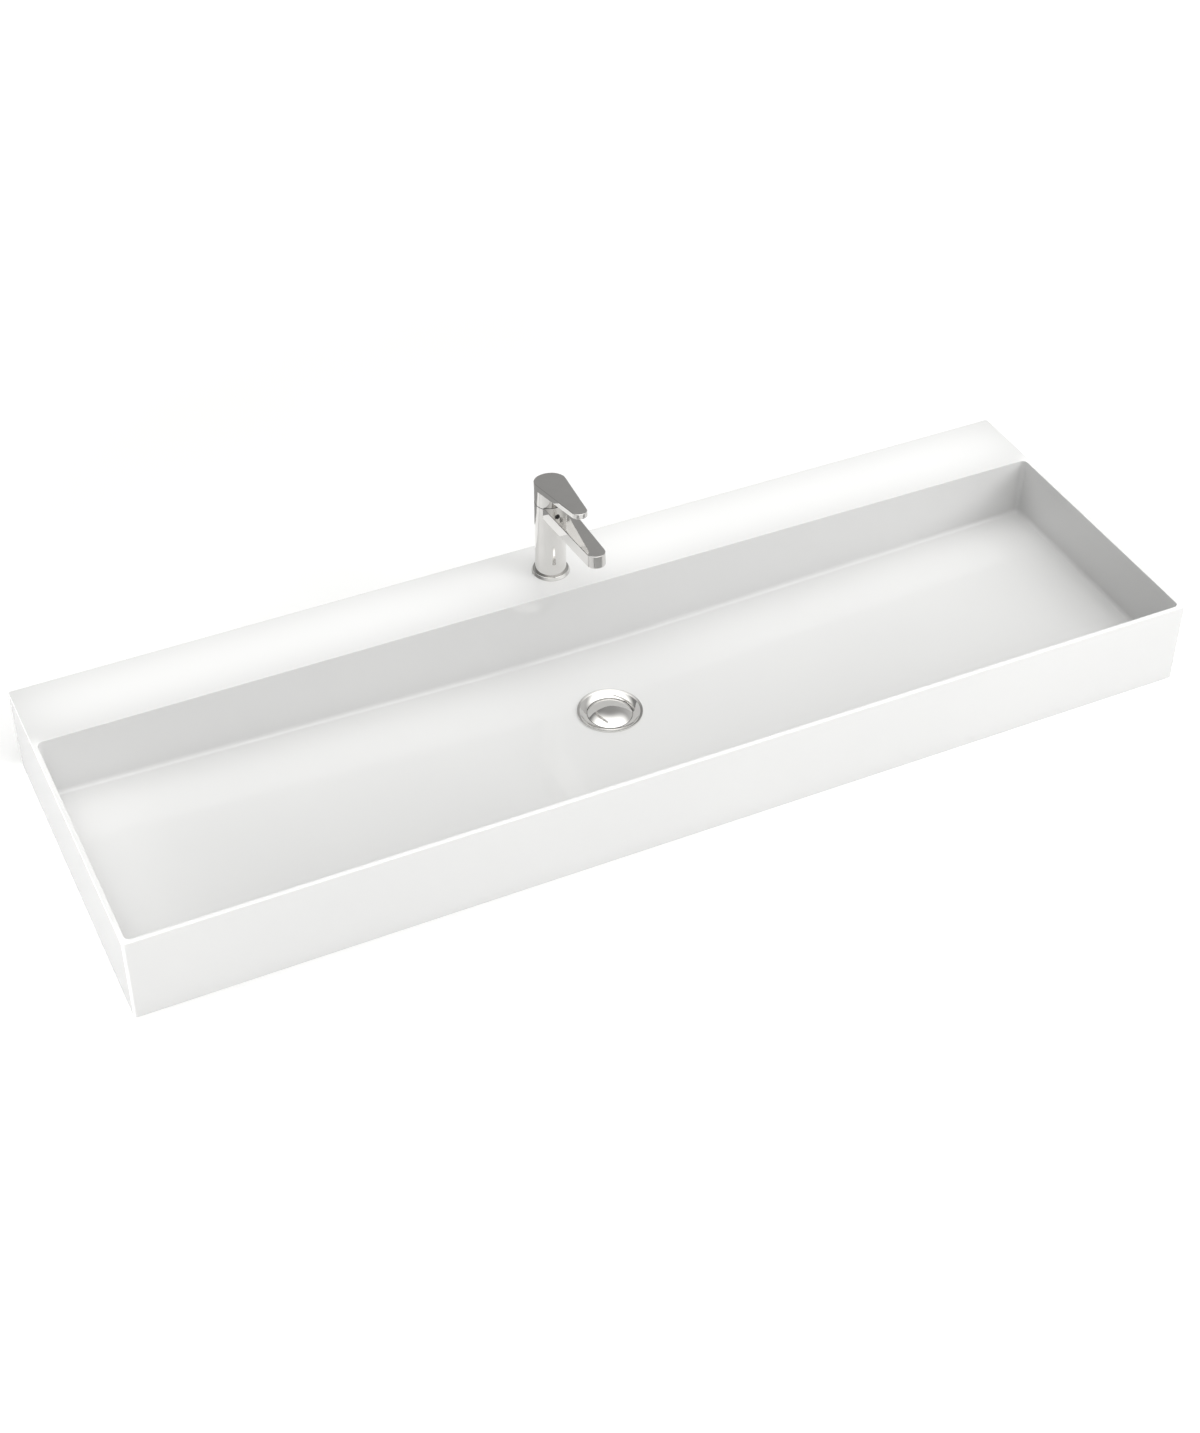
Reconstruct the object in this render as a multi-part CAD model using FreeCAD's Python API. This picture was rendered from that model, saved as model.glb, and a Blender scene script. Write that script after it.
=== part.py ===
import FreeCAD
import Part
import math
import os

# Countertop basin with a single-lever mixer and a push-to-open waste, in millimetres.
# The origin lies on the counter, under the middle of the basin; the wall is on the +Y side.

V = FreeCAD.Vector
UP = V(0, 0, 1)
RIGHT = V(1, 0, 0)
FRONT = V(0, -1, 0)
FULL_TURN = 360
QUARTER_TURN = 90
BEYOND = 300.0  # length of a cutting block that has to reach past everything
PRESS = 0.05  # radial gap of pieces that are screwed or pressed together
RUN = 0.3  # gap between pieces that move past each other

# Basin
BASIN_W = 1400.0
BASIN_D = 470.0
BASIN_H = 116.0
RIM_W = 6.0
DECK_W = 106.6  # from the wall side to the bowl
DECK_T = 12.0
WEB_T = 8.0  # wall between the bowl and the hollow under the deck
FOOT_W = 12.0  # ground edge that stands on the counter
RIB_T = 8.0
RIB_COUNT = 2
PLAN_CORNER_R = 4.0
RIM_CHAMFER = 0.9
BOWL_CORNER_R = 7.0
BOWL_FLOOR_R = 6.0
DRAIN_FLOOR_H = 14.0  # floor at the drain, above the counter
FLOOR_SLOPE = 1.6  # degrees, from both ends down to the drain
FLOOR_BEND_R = 2500.0  # between the level floor at the drain and the slopes
FLOOR_T = 8.0
DRAIN_Y = -1.0
DRAIN_FLAT = 8.0  # level floor beside the waste's lip
DRAIN_BORE_R = 23.0
DRAIN_BOSS_R = 46.0
DRAIN_BOSS_H = 1.0  # underside of the drain boss, above the counter
FIXING_SPACING = 280.0
FIXING_R = 7.0
FIXING_H = 70.0
TAP_HOLE_R = 17.5
TAP_TO_WALL = 57.0

# Mixer body, heights measured from the deck
RING_R = 25.0
RING_H = 4.5
RING_TOP_R = 23.2
RING_FOOT_H = 0.8
RING_LEDGE_H = 2.5
RING_LEDGE_W = 2.6
BASE_SEAL_R = 22.6
BASE_SEAL_W = 3.6
BASE_SEAL_T = 1.2
COLUMN_R = 20.2
COLUMN_H = 109.2
SPOUT_STEP = 1.3  # spout's top plane above the column's top, on the column's axis
SPOUT_RISE = 4.2
SPOUT_T = 18.0
SPOUT_ROOT_R = 16.3
SPOUT_NOSE_R = 12.2
SPOUT_REACH = 134.5
SPOUT_TOP_CHAMFER = 0.5
SPOUT_UNDER_CHAMFER = 1.5
CHANNEL_W = 10.0
CHANNEL_H = 7.0
RISER_W = 12.0
RISER_T = 3.6
RISER_WALL = 1.6
TROUGH_W = 4.0
TROUGH_H = 8.0
INLET_R = 4.46  # M10 x 1, at the crests
INLET_DEPTH = 12.0
INLET_X = 7.0
INLET_Y = -4.1
STUD_R = 4.0
STUD_Y = 9.0
STUD_GRIP = 10.0
STUD_TAIL = 16.0
CLAMP_R = 25.0
CLAMP_SLOT_W = 27.0
CLAMP_SLOT_Y = 3.5
CLAMP_RUBBER_T = 3.0
CLAMP_PLATE_T = 3.0
CLAMP_HOLE_PLAY = 0.3
STUD_NUT_R = 7.5
STUD_NUT_H = 8.0

# Aerator
AERATOR_R = 9.2
AERATOR_H = 7.0
AERATOR_WALL = 1.2
AERATOR_INSET = 0.6
AERATOR_WASHER_T = 1.0
AERATOR_WASHER_W = 3.0
AERATOR_CORE_H = 5.0
JET_W = 2.6
JET_PITCH = 3.8
JET_ROWS = 3

# Cartridge, stacked from the floor of its chamber
CARTRIDGE_R = 12.5
CARTRIDGE_PLAY = 0.2
CARTRIDGE_WALL = 1.2
CHAMBER_DEPTH = 26.7  # below the column's top
PORT_R = 2.6
PORT_X = 5.6
PORT_Y = -3.3
OUTLET_PORT_Y = 6.5
PORT_GASKET_T = 1.5
CARTRIDGE_BASE_T = 6.0
FIXED_DISC_T = 3.5
DISC_FILM = 0.1
MOVING_DISC_R = 9.0
MOVING_DISC_T = 3.0
MOVING_DISC_Y = 1.9
DISC_POCKET_T = 1.5
DISC_POCKET_R = 4.0
DISC_POCKET_Y = 5.0
DRIVER_R = 6.5
DRIVER_T = 5.0
SHOULDER_T = 1.5
NECK_R = 10.4
NECK_WALL = 1.3
NECK_LIP_T = 2.0
NECK_LIP_W = 1.1
CARRIER_H = 8.7
STEM_PIVOT_DROP = 1.2  # below the column's top
STEM_ROLLER_R = 2.2
STEM_FINGER_R = 1.3
SHANK_DROP = 4.5  # foot of the square shank, below the pivot
SHANK_W = 6.0
STEM_HEAD_W = 8.0
STEM_HEAD_RISE = 6.5  # foot of the square head, above the pivot
STEM_HEAD_H = 14.0
PIN_R = 1.5
PIN_LENGTH = 16.4
NUT_R = 14.0
COVER_R = 19.6
COVER_T = 0.4

# Lever
LIFT = 25.0
SEAM_GAP = 0.8
RECESS_GAP = 0.6
LEVER_H = 30.8  # from the skirt's foot to the top, on the column's axis
LEVER_RISE = 6.7
LEVER_REACH = 86.9
LEVER_OVERHANG = 0.4
LEVER_TIP_R = 10.2
LEVER_T = 9.0
LEVER_TIP_T = 7.2
LEVER_CHAMFER = 0.5
SKIRT_WALL = 3.2
SKIRT_HOLLOW_H = 11.0
SCREW_R = 2.5
SCREW_LENGTH = 8.0
SCREW_RISE = 15.0  # above the skirt's foot
PLUG_R = 3.3
PLUG_T = 3.0
PLUG_INSET = 0.5

# Waste, heights measured from the bowl's floor at the drain
LIP_R = 42.0
LIP_T = 2.0
LIP_CHAMFER = 0.3
LIP_W = 1.6
LIP_OVERHANG = 2.5
RECESS_PLAY = 0.5
RECESS_DEPTH = 9.0
DISH_R = 29.6
DISH_DEPTH = 3.0
FLANGE_SEAL_T = 1.0
FLANGE_SEAL_PLAY = 1.0
LEDGE_T = 1.8
TAIL_R = 20.95  # G 1 1/4 thread
TAIL_WALL = 3.45
TAIL_DROP = 74.0
TRAP_THREAD_L = 36.0
TAIL_NECK_R = 20.2  # plain neck between the nut's thread and the trap's
TAIL_NECK_L = 4.0
SPIDER_TOP = 36.0  # below the floor
SPIDER_T = 6.0
SPIDER_ARM_W = 4.0
SPIDER_ARMS = 3
HUB_R = 6.5
BARREL_R = 6.0
BARREL_BORE_R = 4.6
BARREL_FLOOR_T = 2.0
BARREL_TOP = 10.0  # below the floor
BARREL_THREAD_R = 4.0
SPRING_COIL_R = 3.4
SPRING_WIRE = 0.8  # square wire
SPRING_TURNS = 3
SPRING_H = 10.0
CLICK_STEM_R = 4.2
CLICK_SPIGOT_R = 3.0
CLICK_SPIGOT_H = 5.0
PLUG_GAP = 0.6
CAP_DOME_H = 4.8
CAP_BANDS = 3  # conical bands that make up the dome
CAP_EDGE_T = 1.4
CAP_EDGE_ROUND = 0.5
CAP_SHELL_T = 1.7
CAP_HOLLOW_R = 19.0
CAP_BOSS_R = 6.0
PLUG_SEAL_W = 7.0
PLUG_SEAL_INSET = 2.0
LOWER_SEAL_R = 33.0
LOWER_SEAL_T = 4.0
SLIP_WASHER_T = 1.5
BACK_NUT_R = 33.0
BACK_NUT_H = 10.0
BACK_NUT_PLAY = 0.25
HEX_SIDES = 6

# Sizes that follow from those above
BOWL_X = BASIN_W / 2 - RIM_W
BOWL_FRONT = RIM_W - BASIN_D / 2
BOWL_BACK = BASIN_D / 2 - DECK_W
FLOOR_ANGLE = math.radians(FLOOR_SLOPE)
LEVEL_X = LIP_R + DRAIN_FLAT
SLOPE_X = LEVEL_X + FLOOR_BEND_R * math.sin(FLOOR_ANGLE)
SLOPE_H = DRAIN_FLOOR_H + FLOOR_BEND_R * (1 - math.cos(FLOOR_ANGLE))
FLOOR_EDGE_H = SLOPE_H + (BOWL_X - SLOPE_X) * math.tan(FLOOR_ANGLE)
TAP_Y = BASIN_D / 2 - TAP_TO_WALL
SPOUT_TOP_H = COLUMN_H + SPOUT_STEP
CHAMBER_FLOOR_H = COLUMN_H - CHAMBER_DEPTH
CHAMBER_R = CARTRIDGE_R + CARTRIDGE_PLAY
BASE_H = CHAMBER_FLOOR_H + PORT_GASKET_T
FIXED_DISC_H = BASE_H + CARTRIDGE_BASE_T
MOVING_DISC_H = FIXED_DISC_H + FIXED_DISC_T + DISC_FILM
DRIVER_H = MOVING_DISC_H + MOVING_DISC_T
PIVOT_H = COLUMN_H - STEM_PIVOT_DROP
STEM_ROLLER_H = DRIVER_H + STEM_ROLLER_R + RUN
CARRIER_FOOT_H = DRIVER_H + DRIVER_T + RUN
CARRIER_TOP_H = CARRIER_FOOT_H + CARRIER_H
CARTRIDGE_BORE_R = CARTRIDGE_R - CARTRIDGE_WALL
SHOULDER_H = CARRIER_FOOT_H + SHOULDER_T
NECK_TOP_H = CARRIER_TOP_H + RUN + NECK_LIP_T
STEM_TOP_H = PIVOT_H + STEM_HEAD_RISE + STEM_HEAD_H
SKIRT_FOOT_H = COLUMN_H + SEAM_GAP
SKIRT_CEILING_H = SKIRT_FOOT_H + SKIRT_HOLLOW_H
SCREW_H = SKIRT_FOOT_H + SCREW_RISE
LEVER_TOP_H = SKIRT_FOOT_H + LEVER_H
LEVER_BACK_R = COLUMN_R + LEVER_OVERHANG
FLANGE_R = LIP_R - LIP_OVERHANG
FLANGE_UNDER = RECESS_DEPTH - FLANGE_SEAL_T
TAIL_BORE_R = TAIL_R - TAIL_WALL
CAP_R = DISH_R - PLUG_GAP
CAP_UNDER = DISH_DEPTH + CAP_EDGE_T
PLUG_SEAL_R = CAP_R - PLUG_SEAL_INSET
LEDGE = FLANGE_UNDER - LEDGE_T  # seat of the plug's seal, below the floor
BARREL_FLOOR = SPIDER_TOP - BARREL_FLOOR_T
CLICK_STEM_FOOT = BARREL_FLOOR - SPRING_H
CAP_BOSS_FOOT = BARREL_TOP - 2 * RUN
BOSS_DROP = DRAIN_FLOOR_H - DRAIN_BOSS_H  # drain boss's underside, below the floor


# Shapes that several pieces use

def cylinder(radius, low, high, x=0.0, y=0.0):
    return Part.makeCylinder(radius, high - low, V(x, y, low))


def ring(outer, inner, low, high):
    return cylinder(outer, low, high).cut(cylinder(inner, low, high))


def block(x0, x1, y0, y1, z0, z1):
    return Part.makeBox(x1 - x0, y1 - y0, z1 - z0, V(x0, y0, z0))


def hexagon(radius, low, high):
    turns = [2 * math.pi * k / HEX_SIDES for k in range(HEX_SIDES + 1)]
    corners = [V(radius * math.cos(a), radius * math.sin(a), low) for a in turns]
    return Part.Face(Part.makePolygon(corners)).extrude(UP * (high - low))


def turned(*edges):
    """A solid of revolution about Z from the edges of a profile in the XZ plane."""
    return Part.Face(Part.Wire(list(edges))).revolve(V(0, 0, 0), UP, FULL_TURN)


def path(*points):
    """Straight profile edges through (radius, height) points."""
    spots = [V(r, 0, z) for r, z in points]
    return [Part.makeLine(a, b) for a, b in zip(spots, spots[1:])]


def rounded_rectangle(x0, x1, y0, y1, radius, z):
    centres = [
        (x1 - radius, y0 + radius),
        (x1 - radius, y1 - radius),
        (x0 + radius, y1 - radius),
        (x0 + radius, y0 + radius),
    ]
    arcs = []
    for k, (x, y) in enumerate(centres):
        start = (k - 1) * QUARTER_TURN
        arcs.append(Part.makeCircle(radius, V(x, y, z), UP, start, start + QUARTER_TURN))
    edges = []
    for arc, after in zip(arcs, arcs[1:] + arcs[:1]):
        edges += [arc, Part.makeLine(arc.lastVertex().Point, after.firstVertex().Point)]
    return Part.Wire(edges)


def teardrop(back_r, tip_r, reach):
    """Two circles joined by tangents, the small one at the front."""
    lean = (back_r - tip_r) / reach
    side = math.sqrt(1 - lean * lean)
    tip = FRONT * reach
    right = V(side, -lean, 0)
    left = V(-side, -lean, 0)
    return Part.Wire([
        Part.Arc(right * back_r, FRONT * -back_r, left * back_r).toShape(),
        Part.makeLine(left * back_r, tip + left * tip_r),
        Part.Arc(tip + left * tip_r, tip + FRONT * tip_r, tip + right * tip_r).toShape(),
        Part.makeLine(tip + right * tip_r, right * back_r),
    ])


def level_edges(shape, z):
    """Edges that lie flat at height z."""
    near = PRESS / 2
    boxes = [(edge, edge.BoundBox) for edge in shape.Edges]
    return [edge for edge, box in boxes if abs(box.ZMin - z) < near and abs(box.ZMax - z) < near]


def raised(shape, angle, height):
    """Turn a shape about X so that its front rises, then lift it."""
    shape.rotate(V(0, 0, 0), RIGHT, -angle)
    shape.translate(UP * height)
    return shape


def on_spout(shape):
    return raised(shape, SPOUT_RISE, SPOUT_TOP_H)


def at_tap(shape):
    shape.translate(V(0, TAP_Y, BASIN_H))
    return shape


def at_drain(shape):
    shape.translate(V(0, DRAIN_Y, DRAIN_FLOOR_H))
    return shape


# Basin

def bend(side, drop):
    """Wide arc from the level floor to the slope on one side of the drain."""
    half = FLOOR_ANGLE / 2
    middle_x = LEVEL_X + FLOOR_BEND_R * math.sin(half)
    middle_h = DRAIN_FLOOR_H + FLOOR_BEND_R * (1 - math.cos(half))
    points = [(LEVEL_X, DRAIN_FLOOR_H), (middle_x, middle_h), (SLOPE_X, SLOPE_H)]
    return Part.Arc(*[V(side * x, 0, z - drop) for x, z in points]).toShape()


def over_floor(drop):
    """Space over the floor's long profile, which may be dropped by the floor's thickness."""
    level = DRAIN_FLOOR_H - drop
    slope = SLOPE_H - drop
    edge = FLOOR_EDGE_H - drop
    profile = path((-LEVEL_X, level), (LEVEL_X, level))
    profile.append(bend(1, drop))
    profile += path(
        (SLOPE_X, slope), (BOWL_X, edge), (BOWL_X, BASIN_H),
        (-BOWL_X, BASIN_H), (-BOWL_X, edge), (-SLOPE_X, slope),
    )
    profile.append(bend(-1, drop))
    space = Part.Face(Part.Wire(profile)).extrude(FRONT * (BOWL_BACK - BOWL_FRONT))
    space.translate(V(0, BOWL_BACK, 0))
    return space


def floor_edges(space):
    """Edges round the floor, without the lines across it where its slopes start."""
    low = [edge for edge in space.Edges if edge.BoundBox.ZMax < FLOOR_EDGE_H + PRESS]
    end = BOWL_X - BOWL_CORNER_R
    return [edge for edge in low if edge.BoundBox.XLength > PRESS or abs(edge.BoundBox.XMin) > end]


def bowl():
    outline = rounded_rectangle(-BOWL_X, BOWL_X, BOWL_FRONT, BOWL_BACK, BOWL_CORNER_R, 0)
    space = Part.Face(outline).extrude(UP * BASIN_H)
    space = space.common(over_floor(0))
    return space.makeFillet(BOWL_FLOOR_R, floor_edges(space))


def under_floor():
    """Open hollow under the bowl, round the drain boss."""
    side = BASIN_W / 2 - FOOT_W
    front = FOOT_W - BASIN_D / 2
    hollow = block(-side, side, front, BOWL_BACK, 0, FLOOR_EDGE_H - FLOOR_T)
    boss = cylinder(DRAIN_BOSS_R, DRAIN_BOSS_H, FLOOR_EDGE_H, 0, DRAIN_Y)
    return hollow.cut(over_floor(FLOOR_T)).cut(boss)


def under_deck():
    """Open hollow under the deck, split into bays by the ribs."""
    side = BASIN_W / 2 - FOOT_W
    front = BOWL_BACK + WEB_T
    back = BASIN_D / 2 - FOOT_W
    hollow = block(-side, side, front, back, 0, BASIN_H - DECK_T)
    pitch = 2 * side / (RIB_COUNT + 1)
    for k in range(RIB_COUNT):
        x = pitch * (k + 1) - side
        hollow = hollow.cut(block(x - RIB_T / 2, x + RIB_T / 2, front, back, 0, BASIN_H))
    return hollow


def fixing_holes():
    start = V(0, BASIN_D / 2 - FOOT_W, FIXING_H)
    holes = []
    for side in (-1, 1):
        spot = start + RIGHT * (side * FIXING_SPACING / 2)
        holes.append(Part.makeCylinder(FIXING_R, FOOT_W, spot, FRONT * -1))
    return holes


def basin_body():
    half_w = BASIN_W / 2
    half_d = BASIN_D / 2
    plan = rounded_rectangle(-half_w, half_w, -half_d, half_d, PLAN_CORNER_R, 0)
    body = Part.Face(plan).extrude(UP * BASIN_H).cut(bowl())
    body = body.makeChamfer(RIM_CHAMFER, level_edges(body, BASIN_H))
    floor = DRAIN_FLOOR_H
    cuts = [
        under_floor(),
        under_deck(),
        cylinder(TAP_HOLE_R, 0, BASIN_H, 0, TAP_Y),
        cylinder(FLANGE_R + RECESS_PLAY, floor - RECESS_DEPTH, floor, 0, DRAIN_Y),
        cylinder(DRAIN_BORE_R, 0, floor, 0, DRAIN_Y),
    ]
    return body.cut(cuts + fixing_holes())


# Mixer body and the pieces that fasten it to the deck

def spout_bar():
    outline = teardrop(SPOUT_ROOT_R, SPOUT_NOSE_R, SPOUT_REACH)
    bar = Part.Face(outline).extrude(UP * -SPOUT_T)
    bar = bar.makeChamfer(SPOUT_TOP_CHAMFER, level_edges(bar, 0))
    bar = bar.makeChamfer(SPOUT_UNDER_CHAMFER, level_edges(bar, -SPOUT_T))
    return on_spout(bar)


def spout_channel():
    middle = -SPOUT_T / 2
    start = CHAMBER_R + RISER_WALL
    run = block(
        -CHANNEL_W / 2, CHANNEL_W / 2, -SPOUT_REACH, -start,
        middle - CHANNEL_H / 2, middle + CHANNEL_H / 2,
    )
    socket_top = AERATOR_INSET + AERATOR_H + AERATOR_WASHER_T - SPOUT_T
    socket = cylinder(AERATOR_R + PRESS, -SPOUT_T, socket_top, 0, -SPOUT_REACH)
    outlet = cylinder(AERATOR_R - AERATOR_WASHER_W, socket_top, middle, 0, -SPOUT_REACH)
    return [on_spout(shape) for shape in (run, socket, outlet)]


def waterways():
    """Chamber, risers to its ports, and the trough that feeds the spout."""
    floor = CHAMBER_FLOOR_H
    inner = CHAMBER_R + RISER_WALL
    riser_top = SPOUT_TOP_H - SPOUT_T / 2
    riser = ring(inner + RISER_T, inner, floor - TROUGH_H, riser_top)
    window = block(-RISER_W / 2, RISER_W / 2, -COLUMN_R, 0, floor - TROUGH_H, riser_top)
    trough = block(
        -TROUGH_W / 2, TROUGH_W / 2, -inner - RISER_T / 2, OUTLET_PORT_Y + PORT_R,
        floor - TROUGH_H, floor,
    )
    cuts = [
        cylinder(CHAMBER_R, floor, COLUMN_H),
        cylinder(NUT_R + PRESS, SHOULDER_H, COLUMN_H),
        riser.common(window),
        trough,
    ]
    inlet_top = RING_LEDGE_H + INLET_DEPTH
    for side in (-1, 1):
        cuts.append(cylinder(INLET_R, RING_LEDGE_H, inlet_top, side * INLET_X, INLET_Y))
        cuts.append(cylinder(PORT_R, inlet_top, floor, side * PORT_X, PORT_Y))
    return cuts


def tap_body():
    column = cylinder(COLUMN_R, RING_LEDGE_H, COLUMN_H)
    body = column.fuse(spout_bar()).removeSplitter()
    recess = cylinder(COLUMN_R + RECESS_GAP, COLUMN_H, COLUMN_H + BEYOND)
    stud_top = RING_LEDGE_H + STUD_GRIP
    stud_hole = cylinder(STUD_R + PRESS, RING_LEDGE_H, stud_top, 0, STUD_Y)
    return at_tap(body.cut([recess, stud_hole] + waterways() + spout_channel()))


def base_ring():
    """Ring under the column, with a side that leans inwards above a short foot."""
    inner = COLUMN_R - RING_LEDGE_W
    socket = COLUMN_R + PRESS
    edges = path(
        (RING_TOP_R, RING_H), (socket, RING_H), (socket, RING_LEDGE_H), (inner, RING_LEDGE_H),
        (inner, 0), (RING_R, 0), (RING_R, RING_FOOT_H), (RING_TOP_R, RING_H),
    )
    groove = ring(BASE_SEAL_R, BASE_SEAL_R - BASE_SEAL_W, 0, BASE_SEAL_T)
    return at_tap(turned(*edges).cut(groove))


def base_gasket():
    return at_tap(ring(BASE_SEAL_R, BASE_SEAL_R - BASE_SEAL_W, 0, BASE_SEAL_T))


def clamp_plate(top, thickness):
    """A horseshoe that leaves room for the two supply hoses."""
    plate = cylinder(CLAMP_R, top - thickness, top)
    slot = block(
        -CLAMP_SLOT_W / 2, CLAMP_SLOT_W / 2, -CLAMP_R, CLAMP_SLOT_Y, top - thickness, top
    )
    hole = cylinder(STUD_R + CLAMP_HOLE_PLAY, top - thickness, top, 0, STUD_Y)
    return at_tap(plate.cut([slot, hole]))


def clamp_gasket():
    return clamp_plate(-DECK_T, CLAMP_RUBBER_T)


def horseshoe_plate():
    return clamp_plate(-DECK_T - CLAMP_RUBBER_T, CLAMP_PLATE_T)


def mounting_stud():
    low = -DECK_T - CLAMP_RUBBER_T - CLAMP_PLATE_T - STUD_NUT_H - STUD_TAIL
    return at_tap(cylinder(STUD_R, low, RING_LEDGE_H + STUD_GRIP, 0, STUD_Y))


def mounting_nut():
    top = -DECK_T - CLAMP_RUBBER_T - CLAMP_PLATE_T
    nut = hexagon(STUD_NUT_R, top - STUD_NUT_H, top)
    nut = nut.cut(cylinder(STUD_R + PRESS, top - STUD_NUT_H, top))
    nut.translate(V(0, STUD_Y, 0))
    return at_tap(nut)


# Aerator, made about the spout's outlet with z = 0 at the spout's top plane

def at_outlet(shape):
    shape.translate(FRONT * SPOUT_REACH)
    return at_tap(on_spout(shape))


def aerator_housing():
    low = AERATOR_INSET - SPOUT_T
    return at_outlet(ring(AERATOR_R, AERATOR_R - AERATOR_WALL, low, low + AERATOR_H))


def aerator_insert():
    low = AERATOR_INSET - SPOUT_T + (AERATOR_H - AERATOR_CORE_H)
    high = low + AERATOR_CORE_H
    core = cylinder(AERATOR_R - AERATOR_WALL - PRESS, low, high)
    half = JET_W / 2
    rows = [JET_PITCH * (k - (JET_ROWS - 1) / 2) for k in range(JET_ROWS)]
    jets = []
    for x in rows:
        for y in rows:
            jets.append(block(x - half, x + half, y - half, y + half, low, high))
    return at_outlet(core.cut(jets))


def aerator_washer():
    low = AERATOR_INSET + AERATOR_H - SPOUT_T
    return at_outlet(ring(AERATOR_R, AERATOR_R - AERATOR_WASHER_W, low, low + AERATOR_WASHER_T))


# Cartridge

def port_holes(radius, low, high):
    spots = [(-PORT_X, PORT_Y), (PORT_X, PORT_Y), (0, OUTLET_PORT_Y)]
    return [cylinder(radius, low, high, x, y) for x, y in spots]


def ported_disc(low, thickness):
    disc = cylinder(CARTRIDGE_BORE_R - PRESS, low, low + thickness)
    return at_tap(disc.cut(port_holes(PORT_R, low, low + thickness)))


def port_gasket():
    return ported_disc(CHAMBER_FLOOR_H, PORT_GASKET_T)


def cartridge_base():
    return ported_disc(BASE_H, CARTRIDGE_BASE_T)


def fixed_disc():
    return ported_disc(FIXED_DISC_H, FIXED_DISC_T)


def moving_disc():
    low = MOVING_DISC_H
    disc = cylinder(MOVING_DISC_R, low, low + MOVING_DISC_T, 0, MOVING_DISC_Y)
    pocket = cylinder(DISC_POCKET_R, low, low + DISC_POCKET_T, 0, DISC_POCKET_Y)
    return at_tap(disc.cut(pocket))


def disc_driver():
    """Carries the moving disc; the stem's roller works in its slot."""
    low = DRIVER_H
    slot = STEM_ROLLER_R + RUN
    driver = cylinder(DRIVER_R, low, low + DRIVER_T)
    return at_tap(driver.cut(block(-slot, slot, -slot, slot, low, low + DRIVER_T)))


def swing(half_width, height):
    """How far a stem flank reaches sideways at a height from the pivot, at full lift."""
    angle = math.radians(LIFT)
    return half_width / math.cos(angle) + abs(height) * math.tan(angle)


def swivel_carrier():
    half = SHANK_W / 2 + RUN
    front = -swing(half, CARRIER_FOOT_H - PIVOT_H) - RUN
    back = swing(half, CARRIER_TOP_H - PIVOT_H) + RUN
    carrier = cylinder(NECK_R - NECK_WALL - RUN, CARRIER_FOOT_H, CARRIER_TOP_H)
    slot = block(-half, half, front, back, CARRIER_FOOT_H, CARRIER_TOP_H)
    bore = Part.makeCylinder(PIN_R + PRESS, PIN_LENGTH, V(-PIN_LENGTH / 2, 0, PIVOT_H), RIGHT)
    return at_tap(carrier.cut([slot, bore]))


def stem_pin():
    return at_tap(Part.makeCylinder(PIN_R, PIN_LENGTH, V(-PIN_LENGTH / 2, 0, PIVOT_H), RIGHT))


def stem():
    half = SHANK_W / 2
    head = STEM_HEAD_W / 2
    head_foot = PIVOT_H + STEM_HEAD_RISE
    shank = block(-half, half, -half, half, PIVOT_H - SHANK_DROP, head_foot)
    finger = cylinder(STEM_FINGER_R, STEM_ROLLER_H, PIVOT_H - SHANK_DROP)
    reach = STEM_ROLLER_R
    roller = Part.makeCylinder(STEM_ROLLER_R, 2 * reach, V(-reach, 0, STEM_ROLLER_H), RIGHT)
    square = block(-head, head, -head, head, head_foot, STEM_TOP_H)
    bore = Part.makeCylinder(PIN_R + PRESS, SHANK_W, V(-half, 0, PIVOT_H), RIGHT)
    return at_tap(roller.fuse([finger, shank, square]).removeSplitter().cut(bore))


def cartridge_housing():
    neck_bore = NECK_R - NECK_WALL
    lip = CARRIER_TOP_H + RUN
    opening = neck_bore - NECK_LIP_W
    body = cylinder(CARTRIDGE_R, BASE_H, SHOULDER_H)
    body = body.fuse(cylinder(NECK_R, SHOULDER_H, NECK_TOP_H)).removeSplitter()
    return at_tap(body.cut([
        cylinder(CARTRIDGE_BORE_R, BASE_H, CARRIER_FOOT_H),
        cylinder(neck_bore, CARRIER_FOOT_H, lip),
        cylinder(opening, lip, NECK_TOP_H),
    ]))


def cartridge_nut():
    return at_tap(ring(NUT_R, NECK_R + CARTRIDGE_PLAY, SHOULDER_H, COLUMN_H))


def cartridge_cover():
    """Thin dark ring over the nut, seen in the seam under the lever."""
    return at_tap(ring(COVER_R, NECK_R + CARTRIDGE_PLAY, COLUMN_H, COLUMN_H + COVER_T))


# Lever

def lever_plate():
    """Teardrop plate, thinner towards its tip."""
    outline = teardrop(LEVER_BACK_R, LEVER_TIP_R, LEVER_REACH)
    plate = Part.Face(outline).extrude(UP * -LEVER_T)
    taper = math.degrees(math.atan((LEVER_T - LEVER_TIP_T) / (LEVER_REACH + LEVER_TIP_R)))
    under = block(-BEYOND, BEYOND, -BEYOND, 0, -BEYOND, 0)
    plate = plate.cut(raised(under, taper, -LEVER_T))
    plate = plate.makeChamfer(LEVER_CHAMFER, level_edges(plate, 0))
    return raised(plate, LEVER_RISE, LEVER_TOP_H)


def lever_relief():
    """Wedge that keeps the skirt's back clear of the cover at full lift."""
    angle = math.radians(LIFT)
    height = PIVOT_H + (STEM_PIVOT_DROP + COVER_T) / math.cos(angle) + RUN
    wedge = block(-BEYOND, BEYOND, -BEYOND, BEYOND, -BEYOND, 0)
    return raised(wedge, -LIFT, height)


def screw_hole(radius, depth_to):
    """Round hole from the skirt's front to a distance in front of the stem's axis."""
    return Part.makeCylinder(radius, COLUMN_R - depth_to, V(0, -depth_to, SCREW_H), FRONT)


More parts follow.
